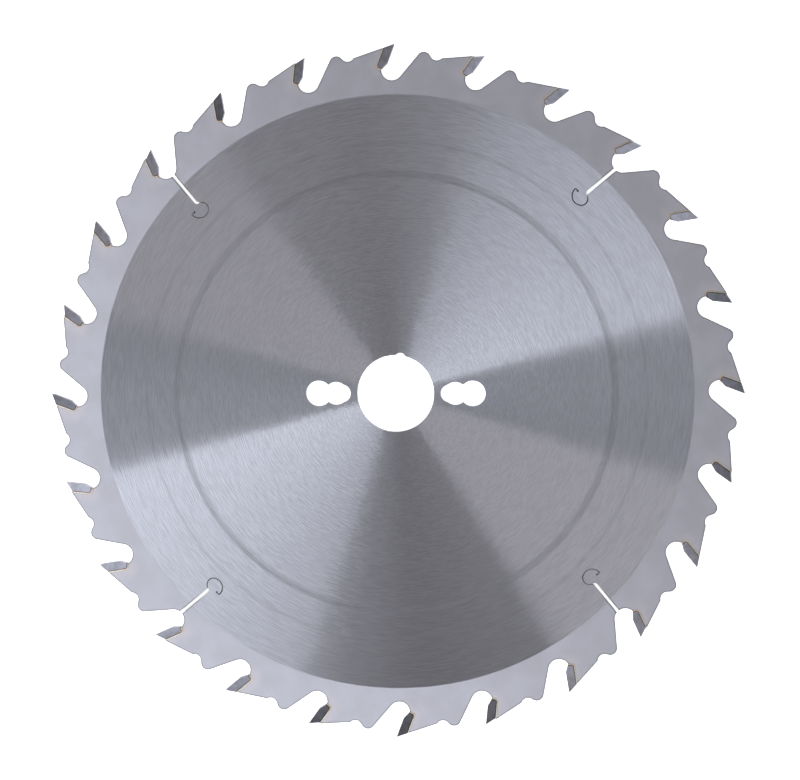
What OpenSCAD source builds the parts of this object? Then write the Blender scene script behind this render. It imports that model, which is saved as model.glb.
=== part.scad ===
/* [Blade] */
// diameter of the tip circle
blade_d = 270; // [260:0.5:280]
// thickness of the steel plate
plate_t = 2.2; // [2:0.05:2.4]
// cutting width over a carbide tip
kerf = 3.2; // [2.9:0.05:3.5]
// number of teeth
teeth = 24; // [22:1:26]

/* [Hub] */
// arbor bore diameter
bore_d = 30; // [25:0.5:32]
// radius of the round notch on the bore rim
notch_r = 2.05; // [1.5:0.05:3]
// depth of the notch beyond the bore rim
notch_depth = 0.95; // [0.5:0.05:1.5]
// angle of the notch from the pin hole axis
notch_angle = 82.4; // [60:0.1:120]
// diameter of the inner pin holes
pin_inner_d = 7; // [6:0.1:8]
// pitch circle of the inner pin holes
pin_inner_pcd = 42; // [40:0.1:44]
// diameter of the middle pin holes
pin_middle_d = 9; // [8:0.1:10]
// pitch circle of the middle pin holes
pin_middle_pcd = 46.4; // [45:0.1:48]
// diameter of the outer pin holes
pin_outer_d = 10; // [9:0.1:11]
// pitch circle of the outer pin holes
pin_outer_pcd = 60; // [58:0.1:62]

/* [Tension ring] */
// radius of the rolled tension ring
ring_r = 85; // [75:0.5:90]
// width of the rolled tension ring
ring_w = 2.8; // [2:0.1:5]
// depth of the rolled tension ring
ring_depth = 0.05; // [0.03:0.01:0.1]

/* [Carbide tip] */
// lean of the cutting face from the radial line
hook_angle = 20.5; // [15:0.5:25]
// fall of the land behind the cutting edge
land_angle = 18.7; // [14:0.1:22]
// alternate bevel across the top of a tip
bevel_angle = 10; // [5:0.5:15]
// side clearance towards the blade axis
side_radial_angle = 1; // [0.5:0.1:1.3]
// side clearance towards the back of a tip
side_back_angle = 2; // [1:0.1:2.5]
// length of a tip along its cutting face
tip_len = 10.75; // [10:0.05:11.5]
// thickness of a tip behind its cutting face
tip_t = 3.4; // [3:0.05:3.8]
// length of the flat cutting face above the toe
tip_face_len = 8; // [7:0.05:9]
// setback of the toe from the cutting face
tip_toe = 1.3; // [0.8:0.05:1.6]
// radius of the corner at the back of the foot
tip_corner_r = 0.9; // [0.5:0.05:1.3]

/* [Braze] */
// thickness of the seam between tip and seat
braze_gap = 0.15; // [0.1:0.01:0.25]
// width of the bead beside a tip
bead_w = 0.45; // [0.3:0.01:0.6]
// height of the bead on the plate face
bead_h = 0.12; // [0.05:0.01:0.15]

/* [Gullet and chip limiter] */
// radius of the gullet
gullet_r = 4.17; // [3.8:0.01:4.5]
// depth of the gullet below the tip circle
gullet_depth = 13.96; // [13.5:0.01:14.5]
// setback of the gullet centre from the tip
gullet_back = 1.06; // [0.5:0.01:1.6]
// radius of the chip limiter
limiter_r = 2.7; // [2.4:0.01:2.8]
// distance of the chip limiter ahead of the tip
limiter_ahead = 11.26; // [10.9:0.01:11.5]
// fall of the chip limiter below the tip
limiter_drop = 3.12; // [2.9:0.01:3.5]
// radius of the dip behind the chip limiter
dip_r = 2.7; // [2.4:0.01:2.8]
// distance of the dip ahead of the tip
dip_ahead = 16.33; // [16.2:0.01:16.8]
// fall of the bottom of the dip below the tip
dip_drop = 6.47; // [6.2:0.01:6.8]

/* [Expansion slots] */
// number of expansion slots
slots = 4; // [2:1:6]
// width of a slot
slot_w = 1.2; // [0.8:0.05:1.5]
// length of the straight slot below the gullet
slot_len = 13.8; // [11:0.1:16]
// lean of a slot from the radial line
slot_angle = 5.4; // [0:0.1:8]
// radius of the bend at the inner end of a slot
slot_bend_r = 0.9; // [0.8:0.05:1.2]
// width of the slot where the bend ends
slot_bend_w = 0.85; // [0.5:0.05:1]
// turn of the bend
slot_turn = 55.4; // [45:0.1:65]
// length from the bend corner to the curl
curl_lead = 2.14; // [1.8:0.01:2.6]
// width of the cut along the curl
curl_w = 0.42; // [0.2:0.01:0.5]
// radius of the first part of the curl
curl_first_r = 2.52; // [2.2:0.01:2.8]
// sweep of the first part of the curl
curl_first_sweep = 104.5; // [90:0.5:115]
// radius of the second part of the curl
curl_second_r = 3.7; // [3.3:0.01:4]
// sweep of the second part of the curl
curl_second_sweep = 125.5; // [110:0.5:135]
// radius of the hook at the end of the curl
hook_r = 0.4; // [0.3:0.01:0.6]
// sweep of the hook
hook_sweep = 100; // [80:1:110]
// length from the hook to the end hole
hook_tail = 0.86; // [0.6:0.01:1.1]
// diameter of the hole at the end of the curl
end_hole_d = 0.8; // [0.5:0.05:1]

/* [Hidden] */
$fn = 64;
tip_r = blade_d / 2;
pitch = 360 / teeth;
// depth of the overlap where a straight side runs into an arc
lap = 0.02;
// reach of the cutting blocks
reach = 30;
// run of a cut past what it trims
over = 4;
// share of the lead to the curl over which the slot narrows
taper_share = 0.6;
// longest steps along a small arc and along the curl
small_step = 15;
curl_step = 5;
// directions along the cutting face and behind it
face_dir = [-sin(hook_angle), -cos(hook_angle)];
back_dir = [-cos(hook_angle), sin(hook_angle)];
// direction of the land towards the cutting edge
land_dir = [cos(land_angle), sin(land_angle)];
// fall of the sides of a tip
side_fall = tan(side_radial_angle) * face_dir + tan(side_back_angle) * back_dir;
side_slope = atan(norm(side_fall));
side_turn = atan2(side_fall[1], side_fall[0]);
// arc centres, from the cutting edge
gullet_c = [-gullet_back, gullet_r - gullet_depth];
limiter_c = [limiter_ahead, -limiter_drop - limiter_r];
dip_c = [dip_ahead, dip_r - dip_drop];

function two_digits(n) = n < 10 ? str("0", n) : str(n);
function tip_name(k) = str("carbide_tip_", two_digits(k + 1));
function braze_name(k) = str("braze_", two_digits(k + 1));
function unit(a) = [cos(a), sin(a)];

// point at s along the cutting face and t behind it
function on_tip(s, t) = s * face_dir + t * back_dir;

// point of the land at t behind the cutting face
function on_land(t) = -t / cos(hook_angle + land_angle) * land_dir;

// rounded corner at the back of the foot, grown by w
function foot_corner(w) = [
    for (a = [0 : small_step : 90])
        on_tip(tip_len - tip_corner_r, tip_t - tip_corner_r)
            + (tip_corner_r + w) * (cos(a) * back_dir + sin(a) * face_dir)
];
function reversed(list) = [for (i = [len(list) - 1 : -1 : 0]) list[i]];

// straight side that crosses from one arc to the next
function cross_side(c1, r1, c2, r2, side) =
    let (d = c2 - c1)
    let (a = atan2(d[1], d[0]))
    let (b = asin(min(1, (r1 + r2 - 2 * lap) / norm(d))))
    let (n = unit(a + side * (b - 90)))
    [c1 + (r1 - lap) * n, c2 - (r2 - lap) * n];

// point given from the next cutting edge
function from_next(p) = [
    p[0] * cos(pitch) + (p[1] + tip_r) * sin(pitch),
    (p[1] + tip_r) * cos(pitch) - p[0] * sin(pitch) - tip_r
];

// open space ahead of a tip together with its seat
gullet_wall = cross_side(gullet_c, gullet_r, limiter_c, limiter_r, 1);
limiter_back = cross_side(limiter_c, limiter_r, dip_c, dip_r, -1);
next_edge = from_next([0, 0]);
next_land = from_next(land_dir) - next_edge;
land_foot = next_edge + ((dip_c - next_edge) * next_land) * next_land;
outside = (tip_r + 3 * over) * [sin(pitch / 2), cos(pitch / 2)] - [0, tip_r];
open_outline = concat(
    [on_tip(-over, tip_t + braze_gap)],
    foot_corner(braze_gap),
    [
        on_tip(tip_len + braze_gap, gullet_c * back_dir),
        gullet_c,
        gullet_wall[0],
        gullet_wall[1],
        limiter_back[0],
        limiter_back[1],
        land_foot,
        next_edge + 2 * over * next_land,
        outside
    ]
);

// stations of the slot and its curl, each with place, heading and width
function move_on(s, len, w) = [s[0] + len * unit(s[1]), s[1], w];
function bend_left(s, r, a, step, w) =
    let (n = ceil(a / step))
    [
        for (i = [1 : n])
            let (h = s[1] + a * i / n)
            [s[0] + r * (unit(s[1] + 90) - unit(h + 90)), h, s[2] + (w - s[2]) * i / n]
    ];
function bend_right(s, r, a, step) =
    let (n = ceil(a / step))
    [
        for (i = [1 : n])
            let (h = s[1] - a * i / n)
            [s[0] + r * (unit(h + 90) - unit(s[1] + 90)), h, s[2]]
    ];
function left_edge(s) = s[0] + s[2] / 2 * unit(s[1] + 90);
function right_edge(s) = s[0] - s[2] / 2 * unit(s[1] + 90);
function last(list) = list[len(list) - 1];

slot_root = [gullet_c - [0, gullet_r], -90 - slot_angle, slot_w];
bend_run = slot_bend_r * tan(slot_turn / 2);
slot_start = move_on(slot_root, -gullet_r, slot_w);
bend_start = move_on(slot_root, slot_len - bend_run, slot_w);
bend_path = bend_left(bend_start, slot_bend_r, slot_turn, small_step, slot_bend_w);
taper_end = move_on(last(bend_path), (curl_lead - bend_run) * taper_share, curl_w);
curl_start = move_on(last(bend_path), curl_lead - bend_run, curl_w);
curl_first = bend_right(curl_start, curl_first_r, curl_first_sweep, curl_step);
curl_second = bend_right(last(curl_first), curl_second_r, curl_second_sweep, curl_step);
hook = bend_right(last(curl_second), hook_r, hook_sweep, small_step);
curl_end = move_on(last(hook), hook_tail, curl_w);
slot_path = concat(
    [slot_start, bend_start],
    bend_path,
    [taper_end, curl_start],
    curl_first,
    curl_second,
    hook,
    [curl_end]
);
slot_outline = concat(
    [for (s = slot_path) left_edge(s)],
    [for (s = reversed(slot_path)) right_edge(s)]
);

// sub-parts

// moves a tooth shape from the cutting edge to tooth k
module at_tooth(k) {
    rotate([0, 0, k * pitch - 90])
        translate([0, tip_r, 0])
            children();
}

module open_space() {
    difference() {
        polygon(open_outline);
        translate(limiter_c)
            circle(r = limiter_r);
    }
    translate(gullet_c)
        circle(r = gullet_r);
    translate(dip_c)
        circle(r = dip_r);
}

module expansion_slot() {
    polygon(slot_outline);
    translate(curl_end[0])
        circle(d = end_hole_d);
}

module pin_hole() {
    translate([pin_inner_pcd / 2, 0])
        circle(d = pin_inner_d);
    translate([pin_middle_pcd / 2, 0])
        circle(d = pin_middle_d);
    translate([pin_outer_pcd / 2, 0])
        circle(d = pin_outer_d);
}

module plate_outline() {
    difference() {
        circle(r = tip_r);
        for (k = [0 : teeth - 1])
            at_tooth(k)
                open_space();
        for (i = [0 : slots - 1])
            at_tooth(round((i + 0.5) * teeth / slots))
                expansion_slot();
        circle(d = bore_d);
        rotate(notch_angle)
            translate([bore_d / 2 + notch_depth - notch_r, 0])
                circle(r = notch_r);
        pin_hole();
        rotate(180)
            pin_hole();
    }
}

module tension_ring() {
    rotate_extrude($fn = 180)
        translate([ring_r, plate_t / 2])
            polygon([[0, -ring_depth], [ring_w, ring_depth], [-ring_w, ring_depth]]);
}

module blade_body() {
    color("silver")
        difference() {
            linear_extrude(height = plate_t, center = true)
                plate_outline();
            tension_ring();
            mirror([0, 0, 1])
                tension_ring();
        }
}

// block that trims one side of a tip
module side_block() {
    translate([0, 0, kerf / 2])
        rotate([0, 0, side_turn])
            rotate([0, side_slope, 0])
                translate([-reach, -reach, 0])
                    cube([2 * reach, 2 * reach, reach]);
}

// block that trims the bevelled top of a tip
module top_block() {
    translate([0, 0, kerf / 2])
        rotate([0, 0, land_angle])
            rotate([-bevel_angle, 0, 0])
                translate([-reach, 0, -reach])
                    cube([2 * reach, reach, 2 * reach]);
}

module tip_shape() {
    difference() {
        linear_extrude(height = kerf + over, center = true)
            polygon(concat(
                [on_tip(-over, 0), on_tip(tip_face_len, 0), on_tip(tip_len, tip_toe)],
                reversed(foot_corner(0)),
                [on_tip(-over, tip_t)]
            ));
        side_block();
        mirror([0, 0, 1])
            side_block();
        top_block();
    }
}

module carbide_tip(k) {
    color("dimgray")
        at_tooth(k)
            mirror([0, 0, k % 2])
                tip_shape();
}

// strip of width w round the back and the foot of a tip
module seam_strip(w) {
    difference() {
        polygon(concat(
            [on_land(tip_t)],
            foot_corner(0),
            [on_tip(tip_len, gullet_c * back_dir), on_tip(tip_len + w, gullet_c * back_dir)],
            reversed(foot_corner(w)),
            [on_land(tip_t + w)]
        ));
        translate(gullet_c)
            circle(r = gullet_r);
    }
}

module braze(k) {
    color("goldenrod")
        at_tooth(k) {
            linear_extrude(height = plate_t + 2 * bead_h, center = true)
                seam_strip(braze_gap);
            translate([0, 0, plate_t / 2])
                linear_extrude(height = bead_h)
                    seam_strip(bead_w);
            translate([0, 0, -plate_t / 2 - bead_h])
                linear_extrude(height = bead_h)
                    seam_strip(bead_w);
        }
}

blade_body();
for (k = [0 : teeth - 1]) {
    carbide_tip(k);
    braze(k);
}
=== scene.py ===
"""Looks of a carbide-tipped circular saw blade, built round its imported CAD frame.

The blade lies flat on a pale floor and is seen from above. Every shape is a CAD node of the frame,
and this script gives each one its finish, then adds the floor, the world, the lamps and the camera.
Lengths are in metres in the scene and in millimetres inside the materials, where a noise's scale is
its number of features in a millimetre.
"""

import math

import bpy
from mathutils import Euler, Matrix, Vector


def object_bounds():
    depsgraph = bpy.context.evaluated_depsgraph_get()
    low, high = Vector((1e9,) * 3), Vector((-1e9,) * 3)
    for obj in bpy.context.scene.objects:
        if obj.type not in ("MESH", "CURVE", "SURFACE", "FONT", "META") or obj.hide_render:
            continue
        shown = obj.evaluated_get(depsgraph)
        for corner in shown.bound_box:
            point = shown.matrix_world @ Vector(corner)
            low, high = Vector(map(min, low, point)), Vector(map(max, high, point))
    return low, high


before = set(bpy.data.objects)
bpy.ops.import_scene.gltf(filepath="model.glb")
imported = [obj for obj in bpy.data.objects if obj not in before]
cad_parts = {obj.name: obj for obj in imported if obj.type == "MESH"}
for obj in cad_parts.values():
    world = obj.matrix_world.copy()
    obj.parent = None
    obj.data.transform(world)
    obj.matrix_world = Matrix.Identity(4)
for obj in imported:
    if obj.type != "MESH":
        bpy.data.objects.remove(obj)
cad_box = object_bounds()

# Blade: its radius in millimetres, and the angle from tooth to tooth

MM = 1000.0
OUTER_R = MM * (cad_box[1].x - cad_box[0].x) / 2
TEETH = sum(name.startswith("carbide_tip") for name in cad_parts)
PITCH = 2 * math.pi / TEETH

# Tip: its length down the cutting face, its thickness behind that face, and the lean of the face

TIP_LENGTH = 10.75
TIP_THICK = 3.4
HOOK = math.radians(20.5)

# Part of a pitch ahead of the cutting edge that still counts as that tooth's

TOOTH_LEAD = math.radians(3.0)

# How far a ground face spreads light across its grain and not along it, from zero to one

BRUSHED = 0.87

# Levels between which a noise is drawn out to its full range, and those that part walls from faces

NOISE_LEVELS = (0.3, 0.7)
FACE_LEVELS = (0.45, 0.55)

# Colours, linear red, green and blue

STEEL = (0.590, 0.587, 0.629, 1.0)
STEEL_PALE = (0.680, 0.677, 0.727, 1.0)
RING_STEEL = (0.30, 0.298, 0.318, 1.0)
RING_DARK = (0.25, 0.248, 0.265, 1.0)
RIM_STEEL = (0.66, 0.652, 0.703, 1.0)
RIM_DARK = (0.62, 0.612, 0.653, 1.0)
HEAT_STRAW = (0.712, 0.678, 0.705, 1.0)
EDGE_STEEL = (0.17, 0.162, 0.158, 1.0)
WALL_STEEL = (0.34, 0.34, 0.36, 1.0)
WALL_DARK = (0.20, 0.20, 0.215, 1.0)
# Near-black painted shade for the walls inside the narrow curls
CURL_WALL_SHADE = (0.045, 0.045, 0.047, 1.0)
CARBIDE = (0.44, 0.435, 0.475, 1.0)
CARBIDE_DARK = (0.37, 0.365, 0.395, 1.0)
CARBIDE_PALE = (0.51, 0.505, 0.575, 1.0)
# Painted shade and dark reflection at the step from braze to carbide
TIP_STEP_SHADE = (0.16, 0.11, 0.08, 1.0)
BRAZE = (1.0, 0.94, 0.80, 1.0)
BRAZE_DARK = (0.72, 0.56, 0.37, 1.0)
BRAZE_WARM = (0.90, 0.68, 0.48, 1.0)
WHITE = (1.0, 1.0, 1.0, 1.0)


class Shader:
    """A node tree being built. Most calls add one node or a few and give back an output."""

    def __init__(self, tree):
        self.tree = tree
        self.tree.nodes.clear()

    def feed(self, socket, value):
        """Sets a socket to a number or a colour, or joins another node's output to it."""
        if isinstance(value, bpy.types.NodeSocket):
            self.tree.links.new(value, socket)
        else:
            socket.default_value = value

    def node(self, kind, inputs=None, **settings):
        """A new node of that kind, with its settings made and its inputs fed."""
        made = self.tree.nodes.new(kind)
        for name, value in settings.items():
            setattr(made, name, value)
        for key, value in (inputs or {}).items():
            self.feed(made.inputs[key], value)
        return made

    def math(self, operation, *values):
        made = self.node("ShaderNodeMath", dict(enumerate(values)), operation=operation)
        return made.outputs[0]

    def vector(self, operation, *values):
        made = self.node("ShaderNodeVectorMath", dict(enumerate(values)), operation=operation)
        gives_number = operation in ("LENGTH", "DOT_PRODUCT")
        return made.outputs["Value" if gives_number else "Vector"]

    def scaled(self, vector, factor):
        inputs = {"Vector": vector, "Scale": factor}
        return self.node("ShaderNodeVectorMath", inputs, operation="SCALE").outputs["Vector"]

    def join(self, x, y, z):
        return self.node("ShaderNodeCombineXYZ", {"X": x, "Y": y, "Z": z}).outputs[0]

    def split(self, vector):
        return self.node("ShaderNodeSeparateXYZ", {0: vector}).outputs

    def ramp(self, value, low, high, to_low=0.0, to_high=1.0):
        """A smooth step of value, from to_low at low to to_high at high."""
        inputs = {
            "Value": value,
            "From Min": low,
            "From Max": high,
            "To Min": to_low,
            "To Max": to_high,
        }
        return self.node("ShaderNodeMapRange", inputs, interpolation_type="SMOOTHSTEP").outputs[0]

    def noise(self, vector, scale=1.0, detail=2.0):
        inputs = {"Vector": vector, "Scale": scale, "Detail": detail, "Roughness": 0.5}
        return self.node("ShaderNodeTexNoise", inputs, noise_dimensions="3D").outputs["Fac"]

    def mix(self, factor, first, second):
        """A colour between first, at a factor of zero, and second, at one."""
        made = self.node("ShaderNodeMix", data_type="RGBA")
        self.feed(made.inputs["Factor"], factor)
        self.feed(made.inputs[6], first)
        self.feed(made.inputs[7], second)
        return made.outputs[2]

    def mix_surfaces(self, factor, first, second):
        """A surface between first, at a factor of zero, and second, at one."""
        return self.node("ShaderNodeMixShader", {0: factor, 1: first, 2: second}).outputs[0]

    def band(self, value, centre, width, soft):
        """One inside a band of that width round centre, fading to zero over soft."""
        off = self.math("ABSOLUTE", self.math("SUBTRACT", value, centre))
        return self.ramp(off, width / 2 - soft / 2, width / 2 + soft / 2, 1.0, 0.0)

    def bump(self, height, strength, depth_mm, under=None):
        """A normal bent by height, whose full range stands depth_mm tall."""
        inputs = {"Height": height, "Strength": strength, "Distance": depth_mm / MM}
        if under is not None:
            inputs["Normal"] = under
        return self.node("ShaderNodeBump", inputs).outputs[0]

    def place_mm(self):
        """Where the shaded point is on the blade, in millimetres."""
        return self.scaled(self.node("ShaderNodeTexCoord").outputs["Object"], MM)

    def on_face(self):
        """One on the level faces, zero on the side walls."""
        normal = self.node("ShaderNodeNewGeometry").outputs["True Normal"]
        return self.ramp(self.math("ABSOLUTE", self.split(normal)[2]), *FACE_LEVELS)

    def near_edge(self, reach_mm):
        """One at an edge of the piece, falling to zero at about reach_mm from it."""
        inputs = {"Distance": reach_mm / MM}
        settings = {"samples": EDGE_RAYS, "inside": True, "only_local": True}
        inside = self.node("ShaderNodeAmbientOcclusion", inputs, **settings).outputs["AO"]
        return self.ramp(inside, *EDGE_LEVELS, 1.0, 0.0)

    def around(self, place):
        """The level direction round the blade's axis."""
        return self.vector("NORMALIZE", self.vector("CROSS_PRODUCT", (0.0, 0.0, 1.0), place))

    def metal(self, **inputs):
        sockets = {name.replace("_", " ").title(): value for name, value in inputs.items()}
        return self.node("ShaderNodeBsdfPrincipled", {"Metallic": 1.0, **sockets}).outputs[0]

    def brushed(self, colour, roughness, normal, grain):
        """Metal ground along grain, which spreads light far across it and hardly along it."""
        inputs = {
            "Color": colour,
            "Roughness": roughness,
            "Anisotropy": BRUSHED,
            "Normal": normal,
            "Tangent": grain,
        }
        return self.node("ShaderNodeBsdfAnisotropic", inputs, distribution="GGX").outputs[0]

    def end(self, kind, surface):
        """Joins surface to the tree's output, a node of that kind."""
        made = self.node(kind)
        self.feed(made.inputs["Surface"], surface)


def new_material(name):
    material = bpy.data.materials.new(name)
    material.use_nodes = True
    return material, Shader(material.node_tree)


def on_tooth(s, place):
    """How far the point lies down its tooth's cutting face, and how far behind that face."""
    x, y, _ = s.split(place)
    r = s.vector("LENGTH", s.join(x, y, 0.0))
    angle = s.math("ADD", s.math("ARCTAN2", y, x), TOOTH_LEAD)
    turn = s.math("SUBTRACT", s.math("FLOORED_MODULO", angle, PITCH), TOOTH_LEAD)
    behind = s.math("MULTIPLY", r, s.math("SINE", turn))
    below = s.math("SUBTRACT", OUTER_R, s.math("MULTIPLY", r, s.math("COSINE", turn)))
    edge = s.join(behind, below, 0.0)
    down = s.vector("DOT_PRODUCT", edge, (math.sin(HOOK), math.cos(HOOK), 0.0))
    back = s.vector("DOT_PRODUCT", edge, (math.cos(HOOK), -math.sin(HOOK), 0.0))
    return down, back


# Ground disc: its radius, the softness of its border, and the marks that brushing left on it. A mark
# has its length at MARK_R from the centre of its arc. Grooves run round the axis, and hairlines round
# centres a little off it.

GROUND_R = 115.7
GROUND_SOFT = 0.30
MARK_R = 60.0
GROOVE_LENGTH = 6.0
GROOVE_WIDTH = 0.40
GROOVE_LEVELS = (0.36, 0.64)
GROOVE_DEPTH = 0.023
GROOVE_ROUGH = (0.285, 0.30)
HAIR_CENTRES = ((12.0, 6.0), (-8.0, 12.0), (3.0, -14.0))
HAIR_LENGTH = 3.6
HAIR_WIDTH = 0.42
HAIR_LEVELS = (1.26, 1.74)

# Rings on the disc, duller than its ground face: the rolled tension ring and a fainter line outside it

TENSION_R = 85.2
TENSION_W = 2.8
TENSION_SOFT = 1.2
TENSION_MIX = 0.36
LINE_R = 97.5
LINE_W = 1.4
LINE_SOFT = 0.8
LINE_MIX = 0.16
RING_ROUGH = 0.5

# Blasted rim: fine grain, broad clouds, and the straw tint that brazing left, whose border drifts

GRAIN_SCALE = 3.2
GRAIN_STRENGTH = 0.25
GRAIN_DEPTH = 0.02
CLOUD_SCALE = 0.09
CLOUD_LEVELS = (0.35, 0.68)
RIM_ROUGH = (0.47, 0.56)
RIM_BRUSHED = 0.20
HEAT_REACH = 5.5
HEAT_MIX = 0.95
DRIFT_SCALE = 0.35
DRIFT_REACH = 5.0

# Darker, duller line along the edges of the plate's faces: its width and strength, the rays that find
# an edge, and the open share of those rays at the edge and clear of it

EDGE_W = 0.80
EDGE_MIX = 0.90
EDGE_RAYS = 16
EDGE_LEVELS = (0.5, 0.95)
EDGE_ROUGH = 0.5

# Side walls, striped across by the laser, and the belt of radii where the curls' walls are painted
# near-black as shade

STRIPE_SCALE = (5.0, 5.0, 0.5)
STRIPE_LEVELS = (0.35, 0.65)
STRIPE_STRENGTH = 0.5
STRIPE_DEPTH = 0.03
WALL_ROUGH = 0.42
CURL_R = 104.0
CURL_REACH = 8.0
CURL_SOFT = 0.5


def brush_marks(s, place, centre, length, width):
    """Noise drawn out along circles round centre."""
    from_centre = s.vector("SUBTRACT", place, (*centre, 0.0))
    x, y, _ = s.split(from_centre)
    flat = s.join(x, y, 0.0)
    r = s.vector("LENGTH", flat)
    along = s.scaled(s.vector("NORMALIZE", flat), MARK_R / length)
    across = s.join(0.0, 0.0, s.math("DIVIDE", r, width))
    return s.noise(s.vector("ADD", along, across))


def plate_disc(s, place, r):
    """Ground steel with brush marks and two duller rings."""
    grooves = brush_marks(s, place, (0.0, 0.0), GROOVE_LENGTH, GROOVE_WIDTH)
    grooves = s.ramp(grooves, *GROOVE_LEVELS)
    hairs = [brush_marks(s, place, centre, HAIR_LENGTH, HAIR_WIDTH) for centre in HAIR_CENTRES]
    hairs = s.math("ADD", s.math("ADD", hairs[0], hairs[1]), hairs[2])
    tone = s.ramp(hairs, *HAIR_LEVELS)
    ground = s.brushed(
        s.mix(tone, STEEL, STEEL_PALE),
        s.ramp(grooves, 0.0, 1.0, *GROOVE_ROUGH),
        s.bump(grooves, 1.0, GROOVE_DEPTH),
        s.around(place),
    )
    tension = s.math("MULTIPLY", s.band(r, TENSION_R, TENSION_W, TENSION_SOFT), TENSION_MIX)
    line = s.math("MULTIPLY", s.band(r, LINE_R, LINE_W, LINE_SOFT), LINE_MIX)
    dull = s.metal(base_color=s.mix(tone, RING_DARK, RING_STEEL), roughness=RING_ROUGH)
    return s.mix_surfaces(s.math("MAXIMUM", tension, line), ground, dull)


def plate_rim(s, place):
    """Blasted steel, tinted by the heat of brazing round each seat."""
    grain = s.noise(place, GRAIN_SCALE, 3.0)
    cloud = s.noise(place, CLOUD_SCALE, 3.0)
    colour = s.mix(s.ramp(cloud, *CLOUD_LEVELS), RIM_DARK, RIM_STEEL)
    down, back = on_tooth(s, place)
    off_middle = s.math("ABSOLUTE", s.math("SUBTRACT", back, TIP_THICK / 2))
    past_back = s.math("MAXIMUM", s.math("SUBTRACT", off_middle, TIP_THICK / 2), 0.0)
    past_foot = s.math("MAXIMUM", s.math("SUBTRACT", down, TIP_LENGTH), 0.0)
    from_seam = s.vector("LENGTH", s.join(past_back, past_foot, 0.0))
    drift = s.math("SUBTRACT", s.noise(place, DRIFT_SCALE), 0.5)
    from_heat = s.math("ADD", from_seam, s.math("MULTIPLY", drift, DRIFT_REACH))
    return s.metal(
        base_color=s.mix(s.ramp(from_heat, 0.0, HEAT_REACH, HEAT_MIX, 0.0), colour, HEAT_STRAW),
        roughness=s.ramp(grain, *NOISE_LEVELS, *RIM_ROUGH),
        anisotropic=RIM_BRUSHED,
        tangent=s.around(place),
        normal=s.bump(grain, GRAIN_STRENGTH, GRAIN_DEPTH),
    )


def plate_wall(s, place, r):
    """Laser-cut steel, painted near-black as shade in the narrow curls."""
    stripe = s.noise(s.vector("MULTIPLY", place, STRIPE_SCALE))
    colour = s.mix(s.ramp(stripe, *STRIPE_LEVELS), WALL_DARK, WALL_STEEL)
    return s.metal(
        # Within the curls' belt the walls take a near-black painted shade
        base_color=s.mix(s.band(r, CURL_R, CURL_REACH, CURL_SOFT), colour, CURL_WALL_SHADE),
        roughness=WALL_ROUGH,
        normal=s.bump(stripe, STRIPE_STRENGTH, STRIPE_DEPTH),
    )


def plate_material():
    """Ground disc, blasted rim outside it, a dull line along the edges outside the curls, and cut walls."""
    material, s = new_material("saw_plate")
    place = s.place_mm()
    x, y, _ = s.split(place)
    r = s.vector("LENGTH", s.join(x, y, 0.0))
    on_rim = s.ramp(r, GROUND_R - GROUND_SOFT / 2, GROUND_R + GROUND_SOFT / 2)
    face = s.mix_surfaces(on_rim, plate_disc(s, place, r), plate_rim(s, place))
    past_curls = s.ramp(r, CURL_R + CURL_REACH / 2, GROUND_R, 0.0, EDGE_MIX)
    at_edge = s.math("MULTIPLY", s.near_edge(EDGE_W), past_curls)
    face = s.mix_surfaces(at_edge, face, s.metal(base_color=EDGE_STEEL, roughness=EDGE_ROUGH))
    whole = s.mix_surfaces(s.on_face(), plate_wall(s, place, r), face)
    s.end("ShaderNodeOutputMaterial", whole)
    return material


# Carbide: grinding lines and specks, with the share of each in the tone, and patches that grow paler
# down the tip. A dark line of painted shade and reflection at the step lies within the reach below of the
# braze, at full strength up to its first value.

LINES_SCALE = (2.0, 2.0, 14.0)
LINES_SHARE = 0.6
SPECKS_SCALE = 7.0
SPECKS_SHARE = 0.4
TONE_LEVELS = (0.38, 0.64)
WORN_STRENGTH = 0.3
WORN_DEPTH = 0.01
PATCH_SCALE = 0.45
PATCH_MIDDLE = 5.5
PATCH_GROWTH = 0.025
PATCH_LEVELS = (0.35, 0.65)
TIP_STEP_SHADE_REACH = (0.15, 0.5)
TIP_STEP_SHADE_MIX = 0.85
TIP_WALL_ROUGH = (0.44, 0.54)
FLANK_ROUGH = (0.29, 0.32)


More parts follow.
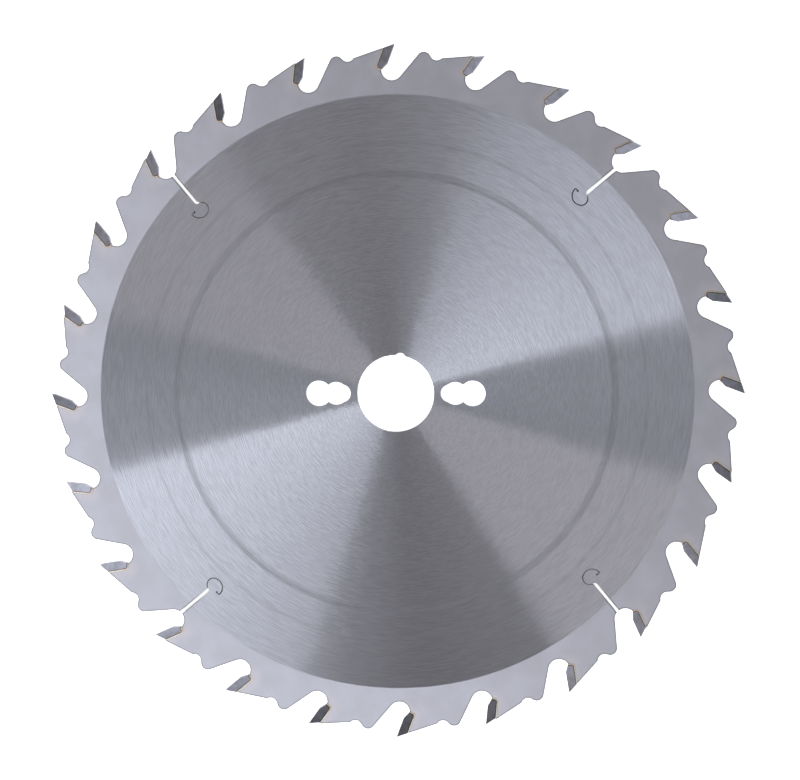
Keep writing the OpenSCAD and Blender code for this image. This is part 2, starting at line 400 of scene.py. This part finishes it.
def carbide_material():
    """Sintered carbide: flanks ground round the blade, plainer walls, and painted shade and reflection next
    to the braze.
    """
    material, s = new_material("ground_carbide")
    place = s.place_mm()
    lines = s.noise(s.vector("MULTIPLY", place, LINES_SCALE))
    specks = s.noise(place, SPECKS_SCALE)
    lines_part = s.math("MULTIPLY", lines, LINES_SHARE)
    tone = s.math("ADD", lines_part, s.math("MULTIPLY", specks, SPECKS_SHARE))
    down, back = on_tooth(s, place)
    growth = s.math("MULTIPLY", s.math("SUBTRACT", down, PATCH_MIDDLE), PATCH_GROWTH)
    patches = s.math("ADD", s.noise(place, PATCH_SCALE), growth)
    ground = s.mix(s.ramp(tone, *TONE_LEVELS), CARBIDE_DARK, CARBIDE)
    ground = s.mix(s.ramp(patches, *PATCH_LEVELS), ground, CARBIDE_PALE)
    from_back = s.math("SUBTRACT", TIP_THICK, back)
    from_foot = s.math("SUBTRACT", TIP_LENGTH, down)
    from_braze = s.math("MINIMUM", from_back, from_foot)
    # A dark line of painted shade and reflection along the carbide next to the braze
    colour = s.mix(s.ramp(from_braze, *TIP_STEP_SHADE_REACH, TIP_STEP_SHADE_MIX, 0.0), ground, TIP_STEP_SHADE)
    worn = s.bump(tone, WORN_STRENGTH, WORN_DEPTH)
    wall_rough = s.ramp(lines, *NOISE_LEVELS, *TIP_WALL_ROUGH)
    flank_rough = s.ramp(lines, *NOISE_LEVELS, *FLANK_ROUGH)
    wall = s.metal(base_color=colour, roughness=wall_rough, normal=worn)
    flank = s.brushed(colour, flank_rough, worn, s.around(place))
    s.end("ShaderNodeOutputMaterial", s.mix_surfaces(s.on_face(), wall, flank))
    return material


# Braze: its flow and its fine skin, and the stretch down the tip over which it turns warmer

FLOW_SCALE = 1.6
FLOW_LEVELS = (0.30, 0.48)
FLOW_STRENGTH = 0.4
FLOW_DEPTH = 0.05
SKIN_SCALE = 9.0
SKIN_STRENGTH = 0.3
SKIN_DEPTH = 0.01
WARM_STRETCH = (7.0, 11.5)
WARM_MIX = 0.8
BRAZE_ROUGH = (0.42, 0.55)


def braze_material():
    """Silver solder, pale at the rim and warmer at the foot, with browner patches."""
    material, s = new_material("braze_alloy")
    place = s.place_mm()
    flow = s.noise(place, FLOW_SCALE, 3.0)
    skin = s.noise(place, SKIN_SCALE)
    down, _ = on_tooth(s, place)
    alloy = s.mix(s.ramp(down, *WARM_STRETCH, 0.0, WARM_MIX), BRAZE, BRAZE_WARM)
    skin_bump = s.bump(skin, SKIN_STRENGTH, SKIN_DEPTH)
    surface = s.metal(
        base_color=s.mix(s.ramp(flow, *FLOW_LEVELS), BRAZE_DARK, alloy),
        roughness=s.ramp(skin, *NOISE_LEVELS, *BRAZE_ROUGH),
        normal=s.bump(flow, FLOW_STRENGTH, FLOW_DEPTH, skin_bump),
    )
    s.end("ShaderNodeOutputMaterial", surface)
    return material


def dress_nodes():
    """Gives every CAD node the material of its kind."""
    finishes = {
        "blade_body": plate_material(),
        "carbide_tip": carbide_material(),
        "braze": braze_material(),
    }
    for name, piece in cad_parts.items():
        kind = next(kind for kind in finishes if name.startswith(kind))
        piece.data.materials.clear()
        piece.data.materials.append(finishes[kind])


# Floor and world, in metres

FLOOR_HALF = 3.0
FLOOR_PAINT = (0.8, 0.8, 0.8, 1.0)
FLOOR_GLOW = 0.90
ROOM = (0.08, 0.081, 0.083, 1.0)
WALLS = (0.90, 0.90, 0.90, 1.0)

# Painted shadow on the floor below the cuts in the plate: the belt of radii where it lies, in millimetres,
# the rays that test how open it is to the light and their reach, and the open shares at which it is black
# and white

CUT_MIDDLE_R = 105.0
CUT_BAND = 30.0
CUT_RAYS = 64
CUT_REACH = 0.012
CUT_DARK = (0.09, 0.125)


def floor_material():
    """White to the camera and in reflections, still shadowed, with a painted shadow in its glow below the
    cuts, and clear from below.
    """
    material, s = new_material("floor_white")
    path = s.node("ShaderNodeLightPath").outputs
    seen = s.math("MAXIMUM", path["Is Camera Ray"], path["Is Glossy Ray"])
    seen = s.math("MAXIMUM", seen, path["Is Transmission Ray"])
    glow = s.math("MULTIPLY", seen, FLOOR_GLOW)
    white = s.node("ShaderNodeEmission", {"Color": WHITE, "Strength": glow}).outputs[0]
    paint = s.node("ShaderNodeBsdfDiffuse", {"Color": FLOOR_PAINT}).outputs[0]
    lit = s.node("ShaderNodeAddShader", {0: paint, 1: white}).outputs[0]

    # Below the cuts the camera sees a painted shadow in the glow: white where the floor lies open to the
    # light, and black elsewhere
    inputs = {"Distance": CUT_REACH}
    sky = s.node("ShaderNodeAmbientOcclusion", inputs, samples=CUT_RAYS).outputs["AO"]
    inputs = {"Color": WHITE, "Strength": s.ramp(sky, *CUT_DARK)}
    in_shade = s.node("ShaderNodeEmission", inputs).outputs[0]
    off_belt = s.math("SUBTRACT", s.vector("LENGTH", s.place_mm()), CUT_MIDDLE_R)
    in_cuts = s.math("LESS_THAN", s.math("ABSOLUTE", off_belt), CUT_BAND / 2)
    in_cuts = s.math("MULTIPLY", in_cuts, path["Is Camera Ray"])
    top = s.mix_surfaces(in_cuts, lit, in_shade)

    below = s.node("ShaderNodeNewGeometry").outputs["Backfacing"]
    clear = s.node("ShaderNodeBsdfTransparent").outputs[0]
    s.end("ShaderNodeOutputMaterial", s.mix_surfaces(below, top, clear))
    return material


def add_floor():
    """A level square under the blade."""
    z = cad_box[0].z
    corners = [(-1, -1), (1, -1), (1, 1), (-1, 1)]
    mesh = bpy.data.meshes.new("floor")
    mesh.from_pydata([(x * FLOOR_HALF, y * FLOOR_HALF, z) for x, y in corners], [], [(0, 1, 2, 3)])
    mesh.materials.append(floor_material())
    floor = bpy.data.objects.new("floor", mesh)
    bpy.context.collection.objects.link(floor)


def add_world():
    """A dim studio room, whose far walls the camera sees as pale."""
    world = bpy.data.worlds.new("studio")
    world.use_nodes = True
    bpy.context.scene.world = world
    s = Shader(world.node_tree)
    colour = s.mix(s.node("ShaderNodeLightPath").outputs["Is Camera Ray"], ROOM, WALLS)
    s.end("ShaderNodeOutputWorld", s.node("ShaderNodeBackground", {"Color": colour}).outputs[0])


# Softboxes round the blade, facing its axis: first and last azimuth in degrees, the radiance at each of
# those ends, and the colour. They share one distance from the axis and one height, in metres.

COOL = (0.945, 0.985, 1.07)
WARM = (0.995, 0.985, 1.03)
LAMPS = {
    "key": (198.2, 249.7, 5.2, 2.95, COOL),
    "near_front": (249.7, 270.0, 0.95, 0.0, COOL),
    "front": (270.0, 296.5, 0.0, 0.30, COOL),
    "fill": (296.5, 338.5, 1.95, 1.9, WARM),
    "right": (338.5, 372.8, 0.95, 0.35, COOL),
    "back": (75.1, 128.3, 0.90, 1.28, WARM),
    "far_left": (128.3, 168.8, 0.45, 0.60, WARM),
    "left": (168.8, 198.2, 0.75, 1.75, COOL),
}
LAMP_DISTANCE = 0.75
LAMP_BOTTOM = 0.10
LAMP_TOP = 1.20


def add_lamps():
    """Upright softboxes, each fading evenly from the radiance at one end to that at the other."""
    for name, (first, last, first_glow, last_glow, colour) in LAMPS.items():
        azimuth = math.radians((first + last) / 2)
        lamp = bpy.data.lights.new(name, "AREA")
        lamp.shape = "RECTANGLE"
        lamp.size = 2 * LAMP_DISTANCE * math.tan(math.radians((last - first) / 2))
        lamp.size_y = LAMP_TOP - LAMP_BOTTOM
        lamp.energy = math.pi * lamp.size * lamp.size_y
        lamp.color = colour
        lamp.use_nodes = True
        s = Shader(lamp.node_tree)
        across = s.split(s.node("ShaderNodeNewGeometry").outputs["Parametric"])[0]
        glow = s.math("MULTIPLY_ADD", across, last_glow - first_glow, first_glow)
        s.end("ShaderNodeOutputLight", s.node("ShaderNodeEmission", {"Strength": glow}).outputs[0])
        away = Vector((math.cos(azimuth), math.sin(azimuth), 0.0))
        piece = bpy.data.objects.new(name, lamp)
        piece.location = away * LAMP_DISTANCE + Vector((0.0, 0.0, (LAMP_BOTTOM + LAMP_TOP) / 2))
        piece.rotation_euler = away.to_track_quat("Z", "Y").to_euler()
        bpy.context.collection.objects.link(piece)


# Camera, above the blade and a little to one side: metres, degrees and millimetres

CAMERA_PLACE = (0.05485, 0.05668, 0.89654)
CAMERA_TURN = (-3.539, 3.384, -0.181)
LENS_MM = 104.02


def add_camera():
    lens = bpy.data.cameras.new("camera")
    lens.lens = LENS_MM
    camera = bpy.data.objects.new("camera", lens)
    camera.location = CAMERA_PLACE
    camera.rotation_euler = Euler([math.radians(turn) for turn in CAMERA_TURN])
    bpy.context.collection.objects.link(camera)
    bpy.context.scene.camera = camera


dress_nodes()
add_floor()
add_world()
add_lamps()
add_camera()
bpy.context.scene.view_settings.view_transform = "Standard"
